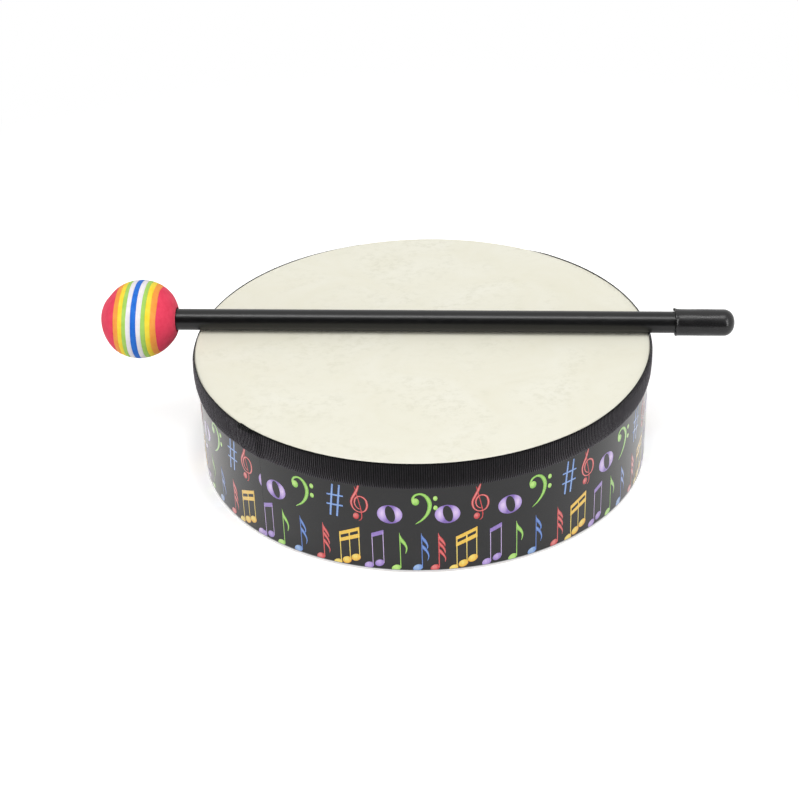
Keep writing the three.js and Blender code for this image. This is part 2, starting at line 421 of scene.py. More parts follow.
def foam_material(name, dark, light):
    """Closed-cell foam ground to a ball: dull, with fine open pores and faint grinding marks."""
    foam = new_material(name, Sheen_Weight=0.08, Sheen_Roughness=0.5, Specular_IOR_Level=0.25)
    cloud = beater_noise(foam, 260, 4, 0.6)
    inputs = {"Vector": stretched(foam, on_beater=True), "Scale": 3200.0}
    cells = add_node(foam.node_tree, "TexVoronoi", inputs).outputs["Distance"]
    grind = beater_noise(foam, 700, 3, 0.6, stretch=(3, 1, 1))
    colour = ramp(cloud, (0.3, *dark), (0.7, *light))
    # Darker at the foam's open pores: painted shade in them.
    colour = mix(map_range(cells, 0.2, 0.05, 0, 0.3), colour, tuple(0.72 * c for c in dark))
    roughness = map_range(cloud, 0.3, 0.7, 0.9, 0.78)
    return finish(foam, colour, roughness, (cells, 0.35, 0.1), (grind, 0.2, 0.12))


# Drum pieces

def make_shell():
    """The bent hoop, with eased edges at its top and foot."""
    inner, outer, top, ease, bend = SHELL_INNER_R, SHELL_OUTER_R, SHELL_TOP, 0.4, 1.5
    outline = [(inner, ease)]
    outline += arc_points(inner + ease, ease, ease, 180, 270, 4)[1:]
    outline += line_points((inner + ease, 0), (outer - ease, 0), 6)
    outline += arc_points(outer - ease, ease, ease, 270, 360, 4)
    outline += line_points((outer, ease), (outer, top - bend), 12)
    outline += arc_points(outer - bend, top - bend, bend, 0, 90, 6)
    outline += line_points((outer - bend, top), (inner + ease, top), 4)
    outline += arc_points(inner + ease, top - ease, ease, 90, 180, 3)
    outline += line_points((inner, top - ease), (inner, ease), 12)
    points, faces = turned(outline, 288)
    add_piece("shell_hoop", points, faces, "drum", wood_material(), "shell")


def make_wrap():
    """The printed film, one thin sheet round the hoop that meets itself in an upright seam."""
    inner = WRAP_R - WRAP_THICK
    ease, half_gap, step = 0.08, 0.04, 2.0
    outline = [(inner, WRAP_FOOT), (WRAP_R - ease, WRAP_FOOT)]
    outline += [(WRAP_R, z) for z in np.linspace(WRAP_FOOT + ease, WRAP_TOP - ease, 12)]
    outline += [(WRAP_R - ease, WRAP_TOP), (inner, WRAP_TOP)]
    start, end = SEAM_ARC + half_gap, SEAM_ARC + WRAP_LENGTH - half_gap
    arcs = np.linspace(start, end, int(math.ceil((end - start) / step)) + 1)
    points, faces = swept(outline, arcs / WRAP_R - math.pi / 2, False)
    add_piece("wrap_sheet", points, faces, "drum", wrap_material(), "printed_wrap")


def make_head():
    """The head: one film, flat on top, folded tightly over the hoop and cut off below the tape."""
    fold_r = HEAD_R - HEAD_FOLD_R
    fold_z = HEAD_TOP - HEAD_FOLD_R
    radii = [0, 6, 14, 24, 34, 44, 54, 64, 74, 84, 94, 102, 108, 113, 117, 120]
    outline = [(r, HEAD_TOP) for r in reversed(radii)]
    outline += [(r, HEAD_TOP - HEAD_THICK) for r in radii]
    outline += arc_points(fold_r, fold_z, HEAD_FOLD_R - HEAD_THICK, 90, 0, 5)
    outline += line_points((HEAD_R - HEAD_THICK, fold_z), (HEAD_R - HEAD_THICK, SKIRT_FOOT), 4)
    outline += [(HEAD_R - HEAD_THICK, SKIRT_FOOT), (HEAD_R, SKIRT_FOOT)]
    outline += line_points((HEAD_R, SKIRT_FOOT), (HEAD_R, fold_z), 4)
    outline += arc_points(fold_r, fold_z, HEAD_FOLD_R, 0, 90, 8)

    def settle(angle, r, z):
        wave = ripple(angle, 11, 3, 9, 1.0) * 0.05 + ripple(angle, 12, 20, 40, 1.0) * 0.02
        skirt = (z < SKIRT_FOOT + 0.1) * ripple(angle, 13, 4, 30, 0.4)
        return r, z + wave * smoothstep(80, 119, r) * (z > 65) + skirt

    points, faces = turned(outline, 288, settle)
    add_piece("head_film", points, faces, "drum", head_material(), "drum_head")


RIB_PITCH = 1.15
RIB_COLUMNS = 6
RIBBON_START = math.radians(-139.6)
RIBBON_SWEEP = math.radians(365.3)
CLIMB_FROM = math.radians(-131.1)
CLIMB_TO = math.radians(-133.9)
LAP_LIFT = 1.0
RIBBON_MID_R = 124.5
RIBBON_WIDTH = 14.6
# Height of the tape's top and foot by degrees round the rim
RIBBON_TOPS = [
    (-180, 66.3), (-172, 67.2), (-162, 67.8), (-152, 67.6), (-147, 67.0), (-139.7, 66.3), (-131, 66.5),
    (-90, 66.45), (-50, 66.5), (-34, 67.1), (-15, 67.4), (0, 67.0), (25, 66.8), (52, 66.6), (59, 65.8),
    (80, 64.8), (98, 64.7), (106, 65.6), (130, 65.9), (165, 66.2), (180, 66.3),
]
RIBBON_FEET = [
    (-180, 51.3), (-150, 50.9), (-139.7, 51.3), (-90, 51.5), (-39, 51.9), (0, 51.9), (52, 51.5),
    (80, 51.2), (130, 51.2), (180, 51.3),
]
# How far the tape stands out, by millimetres across it from its foot
RIBBON_BOW = [(0, -0.75), (1.6, -0.45), (3.8, 0), (7.3, 0.2), (10.2, 0.2), (12.6, 0.1), (14.6, 0.0)]
# Height above which the turned lap's edge is painted black as a painted shadow gap under the lap, by
# degrees from the tape's start
LAP_SHADOW_FROM = [(0, 65.0), (4.0, 65.3), (8.5, 66.6)]


def ribbon_edges(angle):
    """Heights of the tape's foot and top round the rim: it was laid by hand, so they wander a little."""
    turn = (angle + math.pi) % (2 * math.pi) - math.pi
    foot = np.interp(np.degrees(turn), *zip(*RIBBON_FEET)) + ripple(turn, 22, 5, 22, 0.1)
    top = np.interp(np.degrees(turn), *zip(*RIBBON_TOPS)) + ripple(turn, 21, 6, 18, 0.06)
    return foot, top


def make_ribbon():
    """The grosgrain tape: ribs across it, eased selvages, and a lap where it climbs on its own start."""
    ribs = int(round(RIBBON_SWEEP * RIBBON_MID_R / RIB_PITCH))
    columns = ribs * RIB_COLUMNS + 1
    angle = RIBBON_START + np.linspace(0, RIBBON_SWEEP, columns)
    phase = np.linspace(0, ribs, columns) % 1.0
    rib_size = np.repeat(np.random.RandomState(5).uniform(0.82, 1.1, ribs), RIB_COLUMNS)
    rib = np.sin(math.pi * phase) ** 0.75 * np.append(rib_size, rib_size[-1])
    lift = LAP_LIFT * (1 - smoothstep(CLIMB_TO, CLIMB_FROM, angle)) * (angle < math.pi)
    degrees = np.degrees(angle)
    along = np.degrees(angle - RIBBON_START)
    past = along - 360
    foot, top = ribbon_edges(angle)
    top += 0.25 * smoothstep(1.5, 4.5, along) * smoothstep(8.5, 4.5, along)
    top += 0.6 * smoothstep(0.5, 0.7, past) * smoothstep(5.5, 0.7, past)
    foot += 0.55 * (1 - smoothstep(RIBBON_START, CLIMB_FROM, angle)) + 0.3 * smoothstep(-0.5, 1.0, past)
    turned_in = 1.0 * smoothstep(-50, -20, degrees) * smoothstep(80, 55, degrees)
    turned_in += 0.6 * smoothstep(130, 165, degrees) * smoothstep(205, 190, degrees)
    turned_in += lift * smoothstep(3.8, 5.3, along)
    across = np.array([0.0, 0.02, 0.07, 0.16, 0.27, 0.4, 0.52, 0.64, 0.76, 0.86, 0.94, 0.985, 1.0])
    bow = np.interp(across * RIBBON_WIDTH, *zip(*RIBBON_BOW))
    body = np.minimum(smoothstep(0, 0.05, across), smoothstep(1.0, 0.96, across))
    sway = ripple(angle, 23, 5, 16, 0.08)

    def row(t, out, swell, rise):
        """One line of points along the tape, a share t of the way up it."""
        r = RIBBON_INNER_R + out + sway * math.sin(math.pi * t) + lift + swell
        r -= turned_in * smoothstep(0.86, 1.0, t)
        return np.stack([r * np.cos(angle), r * np.sin(angle), foot + (top - foot) * t + rise], -1)

    rows = []
    for t, out, full in zip(across, bow, body):
        rise = 0.09 * rib if t == 1 else -0.12 * rib if t == 0 else 0
        rows.append(row(t, out, 0.26 + 0.1 * full + rib * (0.1 + 0.24 * full), rise))
    for t, out in zip(across[::-3], bow[::-3]):
        inset = 0.05 if 0 < t < 1 else 0.22
        rows.append(row(t, out, inset - 0.05 * rib, 0.03 if t == 1 else 0))
    faces = grid_quads(columns, len(rows), False)
    points = np.stack(rows, 1).reshape(-1, 3)
    material = ribbon_material()
    piece = add_piece("grosgrain_tape", points, faces, "drum", material, "rim_ribbon", 75)
    # The mesh's shade attribute: near black in the rib valleys and along the tape's top edge as painted
    # shade, and along the turned lap's edge as a painted shadow gap.
    place = read_values(piece.data.vertices, "co", np.float32, 3).reshape(-1, 3)
    turn = (np.arctan2(place[:, 1], place[:, 0]) - RIBBON_START) % (2 * math.pi)
    height = place[:, 2] / MM
    dark = 1 - np.sin(math.pi * ((turn / RIBBON_SWEEP * ribs) % 1.0)) ** 0.75
    lap_shadow = (height > np.interp(np.degrees(turn), *zip(*LAP_SHADOW_FROM))) * (turn < CLIMB_FROM - RIBBON_START)
    edge = ribbon_edges(turn + RIBBON_START)[1]
    dark = np.maximum(dark, np.maximum(lap_shadow, smoothstep(edge - 0.5, edge - 0.1, height)))
    set_values(piece.data, "rib_and_edge_shade", dark)


# The print: common signs of written music, drawn with strokes, ovals and beams in millimetres

def smooth_path(knots, step=0.5):
    """Knots of (x, z, half width) joined by a smooth curve, sampled every step."""
    knots = np.asarray(knots, float)
    padded = np.vstack([2 * knots[0] - knots[1], knots, 2 * knots[-1] - knots[-2]])
    samples = []
    for p0, p1, p2, p3 in zip(padded[:-3], padded[1:-2], padded[2:-1], padded[3:]):
        count = max(1, int(math.ceil(np.hypot(*(p2 - p1)[:2]) / step)))
        for t in np.arange(count) / count:
            square = (2 * p0 - 5 * p1 + 4 * p2 - p3) * t ** 2
            cube = (3 * p1 - p0 - 3 * p2 + p3) * t ** 3
            samples.append(0.5 * (2 * p1 + (p2 - p0) * t + square + cube))
    samples.append(padded[-2])
    samples = np.array(samples)
    samples[:, 2] = np.maximum(samples[:, 2], 0.06)
    return samples


def stroke(knots, tones=(0.15, 0.7)):
    """A line of varying width. Tones are the ink's shade at the edge of a part and along its middle."""
    return {"path": smooth_path(knots), "tones": tones}


def oval(x, z, long_half, short_half, tilt, tones=(0.0, 1.0)):
    return {"oval": (x, z, long_half, short_half, math.radians(tilt)), "tones": tones}


def beam(*corners, tones=(0.3, 0.5)):
    return {"corners": np.array(corners, float), "tones": tones}


def hole(part):
    return dict(part, cut=True)


def oval_ring(x, z, long_half, short_half, tilt, share=1.0, count=32):
    angles = np.linspace(0, 2 * math.pi, count, endpoint=False)
    u, v = share * long_half * np.cos(angles), share * short_half * np.sin(angles)
    cos, sin = math.cos(tilt), math.sin(tilt)
    return np.stack([x + u * cos - v * sin, z + u * sin + v * cos], -1)


BASS = [
    oval(0, 0, 2.1, 1.85, 90, (0.2, 1.1)),
    stroke([
        (-1.5, 0.3, 0.5), (-1.35, 2, 0.6), (-0.45, 3.6, 0.62), (1.15, 4.5, 0.58), (2.9, 4.55, 0.65),
        (4.75, 3.5, 0.85), (6.15, 1.5, 1.03), (6.95, -1.1, 1.06), (6.8, -3.9, 0.96), (5.95, -6.7, 0.85),
        (4.45, -9.2, 0.66), (2.6, -11.2, 0.48), (1, -12.4, 0.32), (-0.3, -13.4, 0.1),
    ]),
    oval(9.8, 1.8, 1.42, 1.08, 90, (0.45, 1)),
    oval(9.8, -3.8, 1.38, 1.08, 90, (0.45, 1)),
]
TREBLE = [
    oval(0, 0, 1.95, 1.55, 80, (0.1, 0.75)),
    stroke([
        (2, 19, 0.35), (1.5, 17.3, 0.6), (0.8, 15.3, 0.75), (0, 13.6, 0.8), (-0.95, 11.8, 0.75),
        (-1.75, 10.2, 0.65), (-2.2, 8.2, 0.6), (-1.9, 5.9, 0.52), (-1.1, 4.3, 0.42), (0.1, 3.2, 0.36),
        (1.6, 2.7, 0.34), (3.2, 2.8, 0.36), (4.5, 3.5, 0.42), (5.4, 4.8, 0.52), (5.9, 6.6, 0.58),
        (5.85, 8.4, 0.6), (5.4, 10.1, 0.55), (4.5, 11.3, 0.5), (3.1, 12, 0.45), (1.75, 12, 0.45),
        (0.55, 11.2, 0.5), (-0.25, 9.9, 0.5), (-0.5, 8.2, 0.42), (-0.2, 6.6, 0.36), (0.6, 5.3, 0.32),
        (1.75, 4.5, 0.26), (2.7, 4.7, 0.15),
    ], (0, 0.85)),
    stroke([
        (-0.25, 17.7, 0.1), (0.2, 16, 0.24), (0.85, 13, 0.27), (1.55, 9.8, 0.27), (2.1, 7.3, 0.27),
        (2.6, 4.8, 0.29), (2.9, 2.3, 0.3), (3, 0.3, 0.3), (2.75, -1.2, 0.28), (2.1, -2.2, 0.24),
        (1.3, -2.4, 0.15),
    ], (0.1, 0.4)),
]
WHOLE = [
    oval(0, 0, 6.35, 5.5, 0),
    hole(oval(0.2, 0.15, 4.95, 2.4, 101)),
]
SHARP = [
    stroke([(-0.9, 9.5, 0.48), (-1.9, 0, 0.56), (-2.8, -9.5, 0.52)]),
    stroke([(2.8, 9.6, 0.48), (1.8, 0, 0.56), (0.8, -9.5, 0.52)]),
    stroke([(-4.3, 3, 0.45), (0, 3.1, 0.52), (4.6, 3.2, 0.45)]),
    stroke([(-4.6, -2.8, 0.45), (0, -2.7, 0.54), (4.3, -2.6, 0.45)]),
]
TRIPLE = [
    beam((-0.4, 21.1), (10.5, 25.9), (10.5, 19.6), (-0.4, 15)),
    hole(beam((0.3, 19.3), (4.72, 21.25), (4.72, 19.4), (0.3, 17.4))),
    hole(beam((5.4, 21.6), (9.75, 23.55), (9.75, 21.7), (5.4, 19.75))),
    stroke([(0, 16, 0.25), (0, 9, 0.21), (0, 2.6, 0.22)], (0.7, 1)),
    stroke([(5.05, 18, 0.24), (5.05, 11, 0.2), (5.05, 4.8, 0.22)], (0.7, 1)),
    stroke([(10.1, 20.5, 0.25), (10.1, 13.5, 0.21), (10.1, 7.2, 0.22)], (0.7, 1)),
    oval(8.1, 6.8, 2.75, 2, 32),
    oval(3.2, 4.3, 2.65, 2, 32),
    oval(-1.75, 2, 2.4, 1.75, 28, (0.3, 1.1)),
]
PAIR = [
    beam((-0.3, 23.1), (6, 25.7), (6, 23.2), (-0.3, 20.6), tones=(0.05, 0.15)),
    stroke([(0, 21.5, 0.2), (0, 12, 0.17), (0, 3.2, 0.17)], (0.5, 0.8)),
    stroke([(5.66, 24, 0.2), (5.66, 14, 0.17), (5.66, 5.4, 0.17)], (0.5, 0.8)),
    oval(3.45, 5.1, 2.55, 1.9, 34, (0, 0.55)),
    oval(-2.05, 3.1, 2.55, 1.9, 28, (0.05, 0.65)),
]
EIGHTH = [
    stroke([(-0.2, 24.4, 0.08), (-0.05, 21.5, 0.27), (0, 12, 0.22), (0, 2.6, 0.24)], (0.3, 0.6)),
    stroke([
        (-0.05, 23.2, 0.15), (0.35, 21.2, 0.62), (1, 19.6, 0.98), (1.9, 18.3, 0.9), (2.75, 16.8, 0.62),
        (3.2, 15.2, 0.45), (3.1, 13.6, 0.34), (2.6, 11.7, 0.1),
    ]),
    oval(-2.3, 2.7, 2.5, 1.75, 28, (0.3, 1.1)),
]
SIXTEENTH = [
    stroke([(-0.2, 24.4, 0.08), (-0.05, 21.5, 0.28), (0, 12, 0.24), (0, 2.8, 0.24)], (0, 0.3)),
    stroke([
        (0.05, 22.9, 0.15), (0.65, 21.2, 0.6), (1.35, 19.9, 0.78), (2.15, 18.5, 0.62), (2.7, 17.1, 0.46),
        (2.85, 15.7, 0.34), (2.5, 14.6, 0.15),
    ], (0, 0.45)),
    stroke([
        (0.2, 16.9, 0.4), (0.85, 15.5, 0.92), (1.65, 14.4, 0.8), (2.5, 13, 0.58), (3.1, 11.5, 0.42),
        (3.3, 10, 0.32), (3.1, 8.8, 0.22), (2.65, 7.4, 0.08),
    ], (0, 0.45)),
    oval(-2.3, 3.1, 2.6, 1.85, 28, (0.25, 0.85)),
]
THIRTYSECOND = [
    stroke([(-0.15, 24.3, 0.08), (-0.02, 21.5, 0.34), (0, 12, 0.29), (0, 2.8, 0.29)], (0.2, 0.5)),
    stroke([
        (0.1, 22.6, 0.25), (0.65, 21, 0.74), (1.35, 19.8, 0.86), (2.15, 18.5, 0.68), (2.8, 17.2, 0.46),
        (3.05, 15.9, 0.15),
    ], (0.2, 0.6)),
    stroke([
        (0.3, 18.2, 0.5), (0.95, 16.8, 0.86), (1.75, 15.7, 0.74), (2.55, 14.3, 0.56), (3, 12.8, 0.38),
        (3.1, 11.5, 0.12),
    ], (0.2, 0.6)),
    stroke([
        (0.3, 13.9, 0.5), (0.95, 12.5, 0.86), (1.7, 11.4, 0.74), (2.5, 10.1, 0.54), (3.1, 8.7, 0.36),
        (3.2, 7.6, 0.22), (2.95, 6.2, 0.08),
    ], (0.2, 0.6)),
    oval(-2.1, 2.9, 2.4, 1.8, 28, (0.15, 0.8)),
]
LONE_HEAD = [oval(0, 0, 2.6, 1.95, 28)]


def run(first, last, count):
    """Evenly spaced arcs strictly between two known ones."""
    return [first + (last - first) * k / count for k in range(1, count)]


# Each sign's ink, its parts and its places: an arc from the front along the film, or several, and a height
PRINT_PLAN = [
    ("purple", WHOLE, (-83.9, 34.9), (-20.2, 35.3), (8.5, 35.3), (40.6, 35.5), (103.7, 35.8),
     (run(103.7, WRAP_LENGTH - 89.5, 9), 35.8), (WRAP_LENGTH - 89.5, 36.6), (266.7, 35.8), (524.9, 35.8)),
    ("green", BASS, (-70.9, 43.1), (-7.2, 43.2), (53.2, 43.4), (116, 43.7),
     (run(116, WRAP_LENGTH - 140, 8), 43.8), (WRAP_LENGTH - 140, 44.4)),
    ("blue", SHARP, (-48.4, 39.7), (75.4, 40), (137.4, 40.2),
     ([202.1, 331.2, 395.8, 460.3, 589.5], 40.3), (WRAP_LENGTH - 118, 41)),
    ("red", TREBLE, (-37.4, 32.3), (23.2, 32.3), (86.5, 32.5),
     (run(86.5, WRAP_LENGTH - 107, 9), 32.6), (WRAP_LENGTH - 107, 33.4)),
    ("orange", TRIPLE, (-46.6, -0.2), (12.9, 0), (77.2, 0.3),
     (run(77.2, WRAP_LENGTH - 111.3, 9), 0.3), (WRAP_LENGTH - 111.3, 0.8)),
    ("purple", PAIR, (-93.2, -0.4), (-29.65, -0.1), (30.2, 0), (94.5, 0.2), (run(94.5, 675, 9), 0.2)),
    ("purple", LONE_HEAD, (WRAP_LENGTH - 97, 3)),
    ("green", EIGHTH, (-80.4, -0.2), (-15.5, 0), (44.3, 0), (108.7, 0.2), (run(108.7, 689, 9), 0.2)),
    ("blue", SIXTEENTH, (-69.2, 0), (-4.6, 0), (55.3, 0), (119.8, 0.2),
     (run(119.8, WRAP_LENGTH - 133.5, 8), 0.3), (WRAP_LENGTH - 133.5, 0.6)),
    ("red", THIRTYSECOND, (-55.9, 0), (3.9, 0), (68.5, 0.1), (133.6, 0.2),
     (run(133.6, WRAP_LENGTH - 119.8, 8), 0.3), (WRAP_LENGTH - 119.8, 0.4)),
]
CUT_STEP = 1.5


def sign_input(parts, dx, dz):
    """A sign's points and faces to triangulate, which faces are holes, and where its ink is light."""
    points, faces, holes, lights = [], [], set(), []

    def add_lights(places, tones):
        lights.append(np.hstack([places, np.tile(tones, (len(places), 1))]))

    def add_face(ring):
        x, z = ring[:, 0], ring[:, 1]
        if np.dot(x, np.roll(z, -1)) < np.dot(z, np.roll(x, -1)):
            ring = ring[::-1]
        faces.append(list(range(len(points), len(points) + len(ring))))
        points.extend(ring)

    for part in parts:
        cut = part.get("cut", False)
        first = len(faces)
        if "path" in part:
            path = part["path"] + np.array([dx, dz, 0])
            middle = path[:, :2]
            along = np.gradient(middle, axis=0)
            along /= np.linalg.norm(along, axis=1, keepdims=True)
            side = np.stack([-along[:, 1], along[:, 0]], -1) * path[:, 2:]
            base = len(points)
            points.extend(np.stack([middle + side, middle, middle - side], 1).reshape(-1, 2))
            for a in range(base, base + 3 * (len(path) - 1), 3):
                faces.append([a + 1, a + 4, a + 3, a])
                faces.append([a + 2, a + 5, a + 4, a + 1])
            add_lights(path, part["tones"])
        elif "oval" in part:
            x, z, long_half, short_half, tilt = part["oval"]
            place = (x + dx, z + dz, long_half, short_half, tilt)
            add_face(oval_ring(*place))
            if not cut:
                points.extend(oval_ring(*place, 0.62, 20))
                points.extend(oval_ring(*place, 0.3, 10))
                glint = [[x + dx - 0.25 * short_half, z + dz + 0.28 * short_half, 1.1 * long_half]]
                add_lights(glint, part["tones"])
        else:
            corners = part["corners"] + np.array([dx, dz])
            add_face(corners)
            if not cut:
                start, end = (corners[0] + corners[3]) / 2, (corners[1] + corners[2]) / 2
                half = abs(corners[0] - corners[3])[1] / 2
                line = np.array([[*(start + (end - start) * t), half] for t in np.linspace(0.05, 0.95, 12)])
                points.extend(line[:, :2])
                add_lights(line * (1, 1, 1.5), part["tones"])
        if cut:
            holes.update(range(first, len(faces)))
    return points, faces, holes, np.vstack(lights)


def whole_note_shade(points, centre):
    """A whole note is lightest in the middle of its two thick sides."""
    d = points - centre
    left = np.hypot((d[:, 0] + 3.9) / 2.3, (d[:, 1] - 0.3) / 4.4)
    right = np.hypot((d[:, 0] - 4.1) / 2.2, (d[:, 1] - 0.6) / 4.4)
    return np.clip(1.0 - 0.75 * np.minimum(left, right), 0.0, 0.9)


def sign_mesh(parts, dx, dz):
    """Triangles of one sign, cut into narrow upright strips so that they bend round the drum."""
    points, faces, holes, lights = sign_input(parts, dx, dz)
    flat = np.array(points, float)
    low, high = flat.min(0) - 0.5, flat.max(0) + 0.5
    foot = PRINT_FOOT + 0.2
    seam = SEAM_ARC + WRAP_LENGTH - 0.2
    edges = []

    def add_line(*ends):
        edges.append((len(points), len(points) + 1))
        points.extend(ends)

    for k in range(int(math.ceil(low[0] / CUT_STEP)), int(high[0] / CUT_STEP) + 1):
        add_line((k * CUT_STEP, low[1]), (k * CUT_STEP, high[1]))
    if low[1] < foot:
        add_line((low[0], foot), (high[0], foot))
    if low[0] < seam < high[0]:
        add_line((seam, low[1]), (seam, high[1]))
    if parts is WHOLE:
        for height in np.arange(low[1], high[1], 1.1):
            add_line((low[0], height), (high[0], height))
    places = [Vector((float(x), float(z))) for x, z in points]
    verts, _, tris, _, _, origin = delaunay_2d_cdt(places, edges, faces, 1, 1e-4, True)
    verts = np.array([tuple(v) for v in verts])
    kept = []
    for tri, sources in zip(tris, origin):
        if sources and not holes.intersection(sources):
            x, z = verts[tri].mean(0)
            if z >= foot and x <= seam:
                kept.append(list(tri))
    if parts is WHOLE:
        return verts, kept, whole_note_shade(verts, np.array([dx, dz]))
    away = verts[:, None] - lights[None, :, :2]
    distance = np.hypot(away[..., 0], away[..., 1]) / lights[None, :, 2]
    edge, middle = lights[distance.argmin(1), 3:].T
    return verts, kept, edge + (middle - edge) * np.clip(1 - distance.min(1), 0, 1) ** 0.8


def plate_from(verts, tris, shade):
    """A thin closed plate bent round the drum: its points, outer faces, other faces and ink shades."""
    used = sorted({v for tri in tris for v in tri})
    index = {v: i for i, v in enumerate(used)}
    flat = verts[used]
    count = len(used)
    angle = flat[:, 0] / WRAP_R - math.pi / 2
    rings = [
        np.stack([r * np.cos(angle), r * np.sin(angle), flat[:, 1]], -1)
        for r in (WRAP_R + INK_TOP, WRAP_R + INK_FOOT)
    ]
    outer = []
    for tri in tris:
        a, b, c = (index[v] for v in tri)
        area = np.cross(flat[b] - flat[a], flat[c] - flat[a])
        outer.append([a, b, c] if area > 0 else [a, c, b])
    inner = [[c + count, b + count, a + count] for a, b, c in outer]
    edges = {edge: True for a, b, c in outer for edge in ((a, b), (b, c), (c, a))}
    walls = [[b, a, a + count, b + count] for a, b in edges if (b, a) not in edges]
    return np.vstack(rings), outer, inner + walls, np.tile(shade[used], 2)


INK_FOOT = 0.012
INK_TOP = 0.05
INKS = {
    "purple": ((128, 98, 182), (178, 150, 220), (230, 206, 248)),
    "green": ((78, 152, 48), (138, 202, 76), (192, 236, 128)),
    "blue": ((60, 94, 180), (104, 144, 216), (170, 200, 236)),
    "red": ((146, 26, 32), (211, 55, 59), (246, 152, 148)),
    "orange": ((220, 137, 30), (246, 193, 57), (252, 226, 115)),
}


def make_print():
    """One piece of thin plates for each colour of ink, just outside the film."""
    for colour, tones in INKS.items():
        points, faces, is_outer, shades = [], [], [], []
        total = 0
        signs = [
            (parts, arc, height)
            for ink, parts, *places in PRINT_PLAN if ink == colour
            for arcs, height in places
            for arc in (arcs if isinstance(arcs, list) else [arcs])
        ]
        for sign in signs:
            plate, outer, others, shade = plate_from(*sign_mesh(*sign))
            faces += [[v + total for v in face] for face in outer + others]
            is_outer += [True] * len(outer) + [False] * len(others)
            points.append(plate)
            shades.append(shade)
            total += len(plate)
        mesh = ink_mesh("ink_" + colour, np.vstack(points), faces, np.array(is_outer))
        set_values(mesh, "shade", np.concatenate(shades))
        place_piece(mesh, "drum", ink_material("ink_" + colour, *tones))


def ink_mesh(name, points, faces, is_outer):
    """The plates as one mesh. Their outer faces are shaded as parts of the round film."""
    mesh = bpy.data.meshes.new(name)
    mesh.from_pydata((points * MM).tolist(), [], faces)
    mesh.shade_smooth()
    totals = read_values(mesh.polygons, "loop_total", np.int32)
    flat_normals = read_values(mesh.polygons, "normal", np.float32, 3).reshape(-1, 3)
    normals = np.repeat(flat_normals, totals, axis=0)
    on_outer = np.repeat(is_outer, totals)
    outward = points[read_values(mesh.loops, "vertex_index", np.int32)] * (1, 1, 0)
    outward /= np.linalg.norm(outward, axis=1, keepdims=True)
    normals[on_outer] = outward[on_outer]
    mesh.normals_split_custom_set(normals.tolist())
    return mesh


# Beater pieces

def make_shaft():
    """The tube, open at both ends, with its edges eased outside."""
    ease, lip = 0.25, 0.2
    outline = [(SHAFT_BORE_R, SHAFT_START + lip), (SHAFT_BORE_R + lip, SHAFT_START)]
    outline += [(SHAFT_R - ease, SHAFT_START), (SHAFT_R, SHAFT_START + ease)]
    outline += line_points((SHAFT_R, SHAFT_START + ease), (SHAFT_R, SHAFT_END - ease), 60)
    outline += [(SHAFT_R, SHAFT_END - ease), (SHAFT_R - ease, SHAFT_END), (SHAFT_BORE_R, SHAFT_END)]
    outline += line_points((SHAFT_BORE_R, SHAFT_END), (SHAFT_BORE_R, SHAFT_START + lip), 12)

    def draw_marks(angle, r, x):
        return r + (r > 5) * ripple(angle, 31, 3, 9, 0.012), x

    points, faces = turned_along_x(outline, 96, draw_marks)
    add_piece("shaft_tube", points, faces, "beater", shaft_material(), "beater_shaft")


BURR_ANGLE = math.radians(62)
BURR_WIDTH = 0.16


def make_cap():
    """A dipped vinyl cap: a rough lip with a small burr at its mouth, and a blunt domed end."""
    outline = [(CAP_BORE_R, CAP_MOUTH + 0.3), (CAP_BORE_R + 0.3, CAP_MOUTH)]
    lip = [(-0.25, 0), (0.1, 0.15), (0.2, 0.4), (0.2, 0.8), (0.08, 1.1), (0, 1.5)]
    outline += [(CAP_R + out, CAP_MOUTH + x) for out, x in lip]
    outline += line_points((CAP_R, CAP_MOUTH + 1.5), (CAP_R, CAP_END - CAP_DOME), 24)
    for angle in np.radians(np.linspace(0, 90, 15)):
        outline.append((CAP_R * math.cos(angle) ** 0.9, CAP_END - CAP_DOME + CAP_DOME * math.sin(angle)))
    outline[-1] = (0, CAP_END)
    outline += [(0, CAP_FLOOR), (CAP_BORE_R - 0.4, CAP_FLOOR), (CAP_BORE_R, CAP_FLOOR - 0.4)]
    outline += line_points((CAP_BORE_R, CAP_FLOOR - 0.4), (CAP_BORE_R, CAP_MOUTH + 0.3), 8)

    def soften(angle, r, x):
        near_mouth = 1 - smoothstep(CAP_MOUTH + 0.2, CAP_MOUTH + 2.5, x)
        off_burr = np.abs((angle - BURR_ANGLE + math.pi) % (2 * math.pi) - math.pi)
        burr = np.exp(-(off_burr / BURR_WIDTH) ** 2)
        ragged = ripple(angle, 41, 3, 14, 0.16) - 0.9 * burr
        skin = ripple(angle, 42, 2, 6, 0.06) * np.sin(x * 0.35) + near_mouth * burr * 0.25
        return r + (r > CAP_BORE_R + 0.3) * skin, x + near_mouth * ragged

    points, faces = turned_along_x(outline, 96, soften)
    add_piece("vinyl_cap", points, faces, "beater", cap_material(), "end_cap")


def make_glue():
    """The glue sleeve between the tube and the foam, with an uneven mouth."""
    start, end = SHAFT_START, math.sqrt(BALL_R ** 2 - SOCKET_R ** 2) - 3.2
    inner, outer = SHAFT_R + 0.04, SOCKET_R - 0.3
    outline = [(inner, start), (outer, start), *line_points((outer, start), (outer, end), 12)]
    outline += [(outer, end - 0.3), (outer - 0.15, end), (inner, end)]
    outline += line_points((inner, end), (inner, start), 12)

    def uneven(angle, r, x):
        return r, x + smoothstep(end - 3, end, x) * (ripple(angle, 51, 2, 9, 0.7) - 0.7)

    points, faces = turned_along_x(outline, 64, uneven)
    add_piece("glue_sleeve", points, faces, "beater", glue_material(), "ball_glue")


